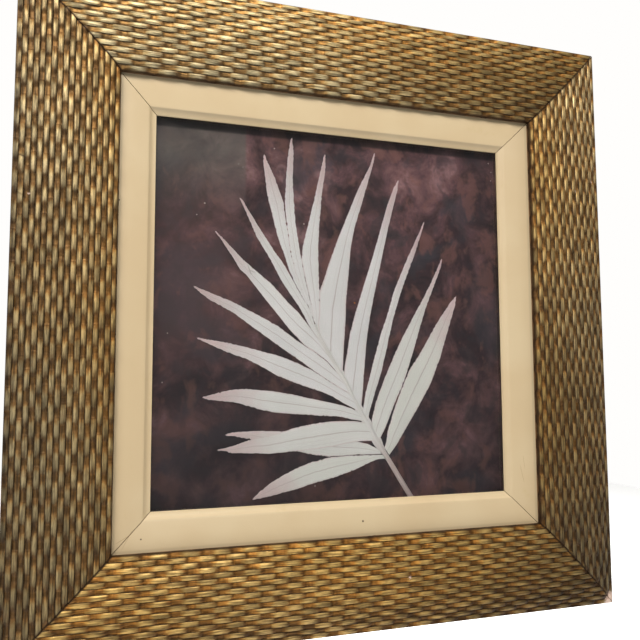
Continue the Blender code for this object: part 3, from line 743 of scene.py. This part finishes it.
def build_rail(side, seed, materials):
    weave = Weave(seed)
    rng = np.random.default_rng(seed + 50)
    columns = [0.0]
    for strand in range(STRANDS):
        columns += [(strand + 0.5 + station / 2.0) * PITCH for station in STRAND_STATIONS]
    columns.append(RAIL_WIDTH)
    front = [(RAIL_INNER + column, 0.0) for column in columns]
    rebate = RAIL_INNER + RAIL_OVERLAP
    body = [
        (RAIL_OUTER, 4.0), (RAIL_OUTER, 0.0), (RAIL_OUTER, -5.0), (RAIL_OUTER, -9.9),
        (RAIL_OUTER - 0.6, RAIL_BACK), (rebate + 0.4, RAIL_BACK), (rebate, RAIL_BACK + 0.4),
        (rebate, LIP_BACK), (RAIL_INNER, LIP_BACK),
    ]
    kinds = [0] * (len(front) - 1) + [1] * 5 + [2] * 4 + [1]
    rows = np.arange(-RAIL_OUTER - ROW_STEP, RAIL_OUTER + 2.0 * ROW_STEP, ROW_STEP)
    piece, along, out = mitred_strip(
        "woven_rail_" + side, side, front + body, kinds, rows, materials, (len(front), weave.height), 62.0)
    step = out - RAIL_INNER
    _, tone, shade_and_scratches, run = weave.surface(along, step)
    ahead = weave.surface(along + ROW_STEP, step)[3]
    behind = weave.surface(along - ROW_STEP, step)[3]
    seam = np.clip((np.abs(run) - 0.82) / 0.09, 0.0, 1.0)
    seam = np.where(np.maximum(np.abs(ahead - run), np.abs(behind - run)) > 0.9, 1.0, seam)
    # turned so that the painted highlight falls on the side of each crown towards the light
    run = np.clip(0.5 + 0.5 * run * -TOWARDS_LIGHT[side], 0.0, 1.0)
    across, up = turned(along, out, side)
    worn = np.zeros(along.shape)
    for spot_across, spot_up, radius in WORN_SPOTS[side]:
        ragged = rng.normal(0.0, 0.25, along.shape) * min(radius, 2.0)
        away = np.hypot(across - spot_across, up - spot_up) + ragged
        worn = np.maximum(worn, np.clip((radius - away) / (0.35 * radius), 0.0, 1.0))
    # scratches are real marks, kept in the same mask as the painted shade
    for start, end, strength in SCRATCHES.get(side, []):
        away = off_line(across, up, start, end)
        shade_and_scratches = np.maximum(shade_and_scratches, strength * np.clip((SCRATCH_HALF - away) / SCRATCH_FADE, 0.0, 1.0))
    # dark joint along the mitres
    mitre = (out - np.abs(along)) / math.sqrt(2.0) - MITRE_GAP / 2.0
    shade_and_scratches = np.maximum(shade_and_scratches, np.clip(1.0 - (mitre - 0.1) / 0.5, 0.0, 1.0))
    layer = np.floor(step / PITCH) * 3.7 + seed * 11.0
    add_attribute(piece, "weave", "FLOAT_VECTOR", np.stack([along, step, layer], axis=-1))
    shares = {
        "run": run, "seam": seam, "glow": painted_glow_share(side, step),
        "patina": gold_share(side, across, up, step), "painted_shading": painted_shading(side, across, up, step),
        "tone": tone, "shade_and_scratches": shade_and_scratches, "worn": worn,
    }
    for name, values in shares.items():
        add_attribute(piece, name, "FLOAT", values)
    declare(piece, "woven_gilt", "rail_" + side)


# Liner

def build_liner(side, materials):
    """A cream strip with a rounded bevel at the opening, a gently sloping face and a rebated back."""
    slope = (LINER_HEIGHT - BEVEL_HEIGHT) / (RAIL_INNER - BEVEL_FOOT)
    ring = [
        (100.0, -0.85), (100.0, -0.12), (100.1, 0.0), (100.6, 0.06), (101.3, 0.2), (102.0, 0.48),
        (102.6, 0.86), (103.1, 1.3), (103.5, 1.68), (103.75, 1.86), (104.1, 1.98),
        (104.6, BEVEL_HEIGHT + 0.75 * slope), (110.0, BEVEL_HEIGHT + 6.15 * slope), (RAIL_INNER, 5.17),
        (123.6, LINER_HEIGHT), (124.0, 4.8), (124.0, -9.8), (123.6, -10.2), (105.4, -10.2), (105.0, -9.8),
        (105.0, -1.0), (100.15, -1.0),
    ]
    kinds = [0] * 15 + [1] * (len(ring) - 16) + [0]
    piece, _, out = mitred_strip(
        "liner_strip_" + side, side, ring, kinds, [-200.0, 200.0], materials, None, 40.0)
    # the painted shading of this liner, which its material reads as tone
    add_attribute(piece, "tone", "FLOAT_VECTOR", np.tile(LINER_PAINTED_SHADING[side], (len(out), 1)))
    declare(piece, "cream_paint", "liner_" + side)


# Leaf

def front_outline(node):
    """The outline of a flat piece's front, in plan millimetres and in order."""
    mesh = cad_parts[node].data
    points = np.array([vertex.co[:] for vertex in mesh.vertices])
    lowest = points[:, 1].min()
    plan = np.round(np.stack([points[:, 0] / MM, points[:, 2] / MM + HANGING_HEIGHT], axis=-1), 3)
    counts = {}
    for polygon in mesh.polygons:
        corners = list(polygon.vertices)
        if all(points[corner, 1] < lowest + 0.02 * MM for corner in corners):
            for first, second in zip(corners, corners[1:] + corners[:1]):
                key = (tuple(plan[first]), tuple(plan[second]))
                if key[::-1] in counts:
                    del counts[key[::-1]]
                else:
                    counts[key] = True
    following = {first: second for first, second in counts}
    start = next(iter(following))
    outline = [start]
    while following[outline[-1]] != start:
        outline.append(following[outline[-1]])
    return np.array(outline)


def resample(path, stations):
    """Points at the given shares of a path's length, and that length."""
    lengths = np.concatenate([[0.0], np.cumsum(np.hypot(*np.diff(path, axis=0).T))])
    wanted = stations * lengths[-1]
    across = np.interp(wanted, lengths, path[:, 0])
    up = np.interp(wanted, lengths, path[:, 1])
    return np.stack([across, up], axis=-1), lengths[-1]


def split_outline(outline, stem_line):
    """Both edges of a leaflet, each from its base to the tip."""
    def to_stem(point):
        best = math.inf
        for first, second in zip(stem_line, stem_line[1:]):
            run = second - first
            share = np.clip(np.dot(point - first, run) / np.dot(run, run), 0.0, 1.0)
            best = min(best, np.hypot(*(first + share * run - point)))
        return best

    near = [index for index, point in enumerate(outline) if to_stem(point) < LEAFLET_BASE]
    count = len(outline)
    if len(near) < 2:
        near = [int(np.argmin(outline[:, 1]))]
    base = outline[near].mean(axis=0)
    tip = int(np.argmax(np.hypot(*(outline - base).T)))
    order = [(tip + step) % count for step in range(count)]
    ranks = sorted(order.index(index) for index in near)
    first_edge = outline[[order[rank] for rank in range(ranks[0] + 1)]]
    second_edge = outline[[order[rank % count] for rank in range(ranks[-1], count)] + [tip]]
    return first_edge[::-1], second_edge


def blunt_tip(left, right, stations, length):
    """Both edges again, with the last stretch kept wide and its end rounded."""
    middle = (left + right) / 2.0
    half = (right - left) / 2.0
    size = np.hypot(*half.T)
    unit = half / np.maximum(size, TINY)[:, None]
    for row in range(1, len(size)):
        if size[row] < 0.2:
            unit[row] = unit[row - 1]
    size = np.sqrt(size ** 2 + (TIP_HALF * np.clip((stations - 0.5) / 0.3, 0.0, 1.0)) ** 2)
    end = np.clip((1.0 - stations) * length / TIP_LENGTH, 0.0, 1.0)
    size = size * np.sqrt(np.clip(1.0 - (1.0 - end) ** 2, 0.0, 1.0))
    return middle - unit * size[:, None], middle + unit * size[:, None]


def blade_mesh(name, edges, columns, section, material, rough, seed, tint=0.0, leaflet=True):
    """A thin solid between two edges. section gives front and back heights across it, from -1 to 1.

    A leaflet gets a blunt tip and a broader foot, the stalk a flange."""
    rng = np.random.default_rng(seed)
    length = max(resample(edge, np.array([0.0, 1.0]))[1] for edge in edges)
    count = max(12, int(length / (LEAFLET_STEP if leaflet else STALK_STEP)))
    stations = np.linspace(0.0, 1.0, count)
    left, right = [resample(edge, stations)[0] for edge in edges]
    if leaflet:
        left, right = blunt_tip(left, right, stations, length)
        spread = BASE_SPREAD * np.clip((0.6 - stations) / 0.15, 0.0, 1.0)[:, None]
    else:
        spread = FLANGE * joined_share(stations)[:, None]
    outward = (left - right) / np.maximum(np.hypot(*(left - right).T), TINY)[:, None]
    left = left + outward * spread
    right = right - outward * spread
    inward = right - left
    width = np.maximum(np.hypot(*inward.T), TINY)[:, None]
    inward = inward / width
    fade = np.clip(stations * 8.0, 0.0, 1.0)[:, None]
    teeth_left = np.abs(rng.normal(0.0, rough, (count, 1))) * fade
    teeth_right = np.abs(rng.normal(0.0, rough, (count, 1))) * fade
    left = left + inward * np.minimum(teeth_left, 0.2 * width)
    right = right - inward * np.minimum(teeth_right, 0.2 * width)
    across = np.linspace(-1.0, 1.0, columns)
    share = (across[None, :, None] + 1.0) / 2.0
    plan = left[:, None, :] * (1.0 - share) + right[:, None, :] * share
    sheets = []
    for height in section(stations[:, None], across[None, :], width / 2.0):
        height = np.broadcast_to(height, plan.shape[:2])
        sheets.append(to_world(plan[..., 0], height, plan[..., 1]).reshape(-1, 3))
    offset = count * columns
    grid = np.arange(offset).reshape(count, columns)
    faces = []
    for start in grid[:-1, :-1].ravel().tolist():
        quad = (start, start + 1, start + columns + 1, start + columns)
        faces += [quad, tuple(corner + offset for corner in quad[::-1])]
    rim = np.concatenate([grid[0, :], grid[1:, -1], grid[-1, -2::-1], grid[-2:0:-1, 0]]).tolist()
    for first, second in zip(rim, rim[1:] + rim[:1]):
        faces.append((second, first, first + offset, second + offset))
    piece = add_mesh(name, np.concatenate(sheets), faces, [material])
    blade = np.stack([
        np.broadcast_to(stations[:, None], (count, columns)),
        np.broadcast_to(across[None, :], (count, columns)),
        np.full((count, columns), tint),
    ], axis=-1).reshape(-1, 3)
    add_attribute(piece, "blade", "FLOAT_VECTOR", np.concatenate([blade, blade]))
    return piece


def leaflet_section(drop, seed):
    """A slightly buckled leaflet with a midrib and veins, drop below the front of the leaf."""
    rng = np.random.default_rng(seed)
    waves = rng.uniform(0.0, 2.0 * math.pi, 4)

    def section(stations, across, half_width):
        buckle = 0.05 * np.sin(stations * 9.0 + waves[0]) * np.sin(across * 2.6 + waves[1])
        buckle += 0.035 * np.sin(stations * 23.0 + waves[2] + across * 1.5)
        rib = 0.1 * np.exp(-(across / 0.07) ** 2) * (1.0 - stations)
        veins = 0.02 * np.cos(across * 21.0)
        edge = 0.14 * np.abs(across) ** 6
        front = LEAF_FRONT - 0.16 + buckle + rib + veins - edge
        return np.minimum(front, LEAF_FRONT - 0.01) - drop, LEAF_BACK + 0.01 - drop

    return section


def joined_share(stations):
    """0 on the bare stalk, 1 where the leaflets join it."""
    return np.clip((stations - 0.29) / 0.06, 0.0, 1.0)


def stem_section(stations, across, half_width):
    """A half-round stalk, with a thin flange on both sides where the leaflets join it."""
    joined = joined_share(stations)
    beside = np.abs(across) * half_width / np.maximum(half_width - FLANGE * joined, 0.1)
    round_top = np.sqrt(np.clip(1.0 - (0.98 * beside) ** 2, 0.0, 1.0))
    front = STALK_AXIS + (STALK_RISE - 0.2 * joined) * round_top
    return np.where(joined > 0.0, np.maximum(front, FLANGE_FRONT), front), STALK_BACK


def build_leaf():
    blade = leaf_paint()
    stalk = stalk_paint()
    outline = front_outline("stem")
    outline = np.roll(outline, -int(np.argmin(outline[:, 1])), axis=0)
    if outline[1, 1] < outline[-1, 1]:
        outline = np.roll(outline, -1, axis=0)
    half = len(outline) // 2
    one, other = outline[:half], outline[half:][::-1]
    stem_line = (one + other) / 2.0
    # the stalk runs on a little under the foot of the middle leaflet
    reach = stem_line[-1] - stem_line[-2]
    reach = STALK_REACH * reach / np.hypot(*reach)
    edges = sorted((one, other), key=lambda edge: edge[0, 0])
    edges = [np.vstack([edge, edge[-1] + reach]) for edge in edges]
    stem = blade_mesh("palm_stalk", edges, STALK_COLUMNS, stem_section, stalk, 0.02, 5, leaflet=False)
    declare(stem, "dried_stalk", "stem")
    nodes = ["leaflet_left_%d" % number for number in range(1, 9)]
    nodes += ["leaflet_top_%d" % number for number in range(1, 4)]
    nodes += ["leaflet_right_%d" % number for number in range(1, 6)]
    for number, node in enumerate(nodes):
        edges = split_outline(front_outline(node), stem_line)
        drop = LOWER_LEAF_DROP if node == "leaflet_left_2" else LAYER_DROP * (number % 2)
        section = leaflet_section(drop, 100 + number)
        tint = GREEN_TINT.get(node, 0.0)
        piece = blade_mesh("palm_" + node, edges, LEAFLET_COLUMNS, section, blade, 0.2, 200 + number, tint)
        declare(piece, "bleached_leaf", node)


# Pane of glass

def build_pane(material):
    """Cut glass with ground arrises."""
    low, high = [Vector(corner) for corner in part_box("glass")]
    middle = (low + high) / 2.0
    half_x = (high.x - low.x) / 2.0
    half_z = (high.z - low.z) / 2.0
    arris = GLASS_ARRIS * MM
    face = GLASS_INSET * MM
    rings = [
        (face, low.y), (arris, low.y), (0.0, low.y + arris),
        (0.0, high.y - arris), (arris, high.y), (face, high.y),
    ]
    points = []
    for inset, depth in rings:
        for sign_x, sign_z in ((-1.0, -1.0), (1.0, -1.0), (1.0, 1.0), (-1.0, 1.0)):
            across = middle.x + sign_x * (half_x - inset)
            points.append((across, depth, middle.z + sign_z * (half_z - inset)))
    faces = [[0, 1, 2, 3]]
    for ring in range(len(rings) - 1):
        for corner in range(4):
            after = (corner + 1) % 4
            first = ring * 4
            faces.append([first + after, first + corner, first + 4 + corner, first + 4 + after])
    last = (len(rings) - 1) * 4
    faces.append([last + 3, last + 2, last + 1, last])
    pane = add_mesh("glass_pane", points, faces, [material], None, 60.0)
    declare(pane, "clear_glass", "glass")


def dress(node, material):
    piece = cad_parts[node]
    piece.data.materials.clear()
    piece.data.materials.append(material)


# Light, floor and camera

def area_light(name, place, target, size, power, colour=(1.0, 1.0, 1.0), size_y=None):
    light = bpy.data.lights.new(name, "AREA")
    light.energy = power
    light.color = colour
    light.size = size
    if size_y is not None:
        light.shape = "RECTANGLE"
        light.size_y = size_y
    lamp = bpy.data.objects.new(name, light)
    lamp.location = place
    lamp.rotation_euler = (Vector(target) - Vector(place)).to_track_quat("-Z", "Y").to_euler()
    bpy.context.scene.collection.objects.link(lamp)


def build_world():
    """White behind the object, and in front a soft glow from the upper left that fades out downwards."""
    world = bpy.data.worlds.new("studio")
    bpy.context.scene.world = world
    world.use_nodes = True
    nodes = world.node_tree.nodes
    links = world.node_tree.links
    place = nodes.new("ShaderNodeTexCoord")
    brighter = nodes.new("ShaderNodeMath")
    brighter.operation = "MAXIMUM"
    glows = (((0.0, 1.0, 0.0), -0.02, 0.2, 0.04, 0.5), ((-0.42, 0.0, 0.91), 0.35, 0.85, 0.04, 0.55))
    for socket, (direction, low, high, dim, bright) in enumerate(glows):
        share = nodes.new("ShaderNodeVectorMath")
        share.operation = "DOT_PRODUCT"
        share.inputs[1].default_value = direction
        links.new(place.outputs["Generated"], share.inputs[0])
        ramp = nodes.new("ShaderNodeMapRange")
        ramp.interpolation_type = "SMOOTHSTEP"
        for key, value in (("From Min", low), ("From Max", high), ("To Min", dim), ("To Max", bright)):
            ramp.inputs[key].default_value = value
        links.new(share.outputs["Value"], ramp.inputs["Value"])
        links.new(ramp.outputs["Result"], brighter.inputs[socket])
    background = nodes["Background"]
    links.new(brighter.outputs["Value"], background.inputs["Strength"])
    background.inputs["Color"].default_value = (1.0, 0.99, 0.975, 1.0)


def build_stage():
    paint = Paint("floor", Roughness=0.8)
    clouds = paint.noise(paint.place(), 3.0)
    paint.set("Base Color", paint.mix(clouds, (0.88, 0.88, 0.87, 1.0), (0.9, 0.9, 0.89, 1.0)))
    level = -1.2
    points = [(-5.0, -2.0, level), (5.0, -2.0, level), (5.0, 8.0, level), (-5.0, 8.0, level)]
    floor = add_mesh("floor", points, [[0, 1, 2, 3]], [paint.material])
    middle = (0.0, 0.0, -0.14)
    area_light("key", (-0.35, -1.0, 0.68), middle, 1.3, 9.0, (1.0, 0.955, 0.885), 0.22)
    area_light("fill", (-0.9, -0.9, -0.2), middle, 0.8, 1.0, (0.92, 0.97, 1.0))
    area_light("rear", (0.3, 1.3, 0.7), middle, 0.9, 3.0)
    area_light("floor_wash", (0.5, 3.0, 1.5), (0.5, 3.5, -1.2), 3.0, 130.0)
    camera = bpy.data.cameras.new("camera")
    camera.lens = 40.45
    camera.sensor_width = 36.0
    camera.clip_start = 0.01
    seen = bpy.data.objects.new("camera", camera)
    seen.location = (-0.13433, -0.37719, -0.17930)
    seen.rotation_euler = (math.radians(94.9915), math.radians(0.2264), math.radians(-18.4339))
    bpy.context.scene.collection.objects.link(seen)
    bpy.context.scene.camera = seen
    bpy.context.scene.view_settings.view_transform = "Standard"
    bpy.context.scene.view_settings.exposure = 1.0


def main():
    gilt = woven_gilt()
    wall = rail_side()
    wood = raw_wood()
    cream = cream_paint()
    for number, side in enumerate(SIDES):
        build_rail(side, 11 + number, [gilt, wall, wood])
        build_liner(side, [cream, wood])
    build_leaf()
    build_pane(clear_glass())
    dress("mount_paper", mottled_paper())
    dress("backing_board", backing_board())
    steel = metal("blued_steel", rgb(132, 134, 138), rgb(88, 88, 92), 0.38)
    for side in SIDES:
        for number in (1, 2):
            dress("point_%s_%d" % (side, number), steel)
    dress("hanger", metal("brassed_steel", rgb(158, 136, 92), rgb(112, 92, 56), 0.36))
    nail = metal("nail_steel", rgb(150, 150, 150), rgb(104, 104, 106), 0.38)
    dress("hanger_nail_1", nail)
    dress("hanger_nail_2", nail)
    build_world()
    build_stage()


main()
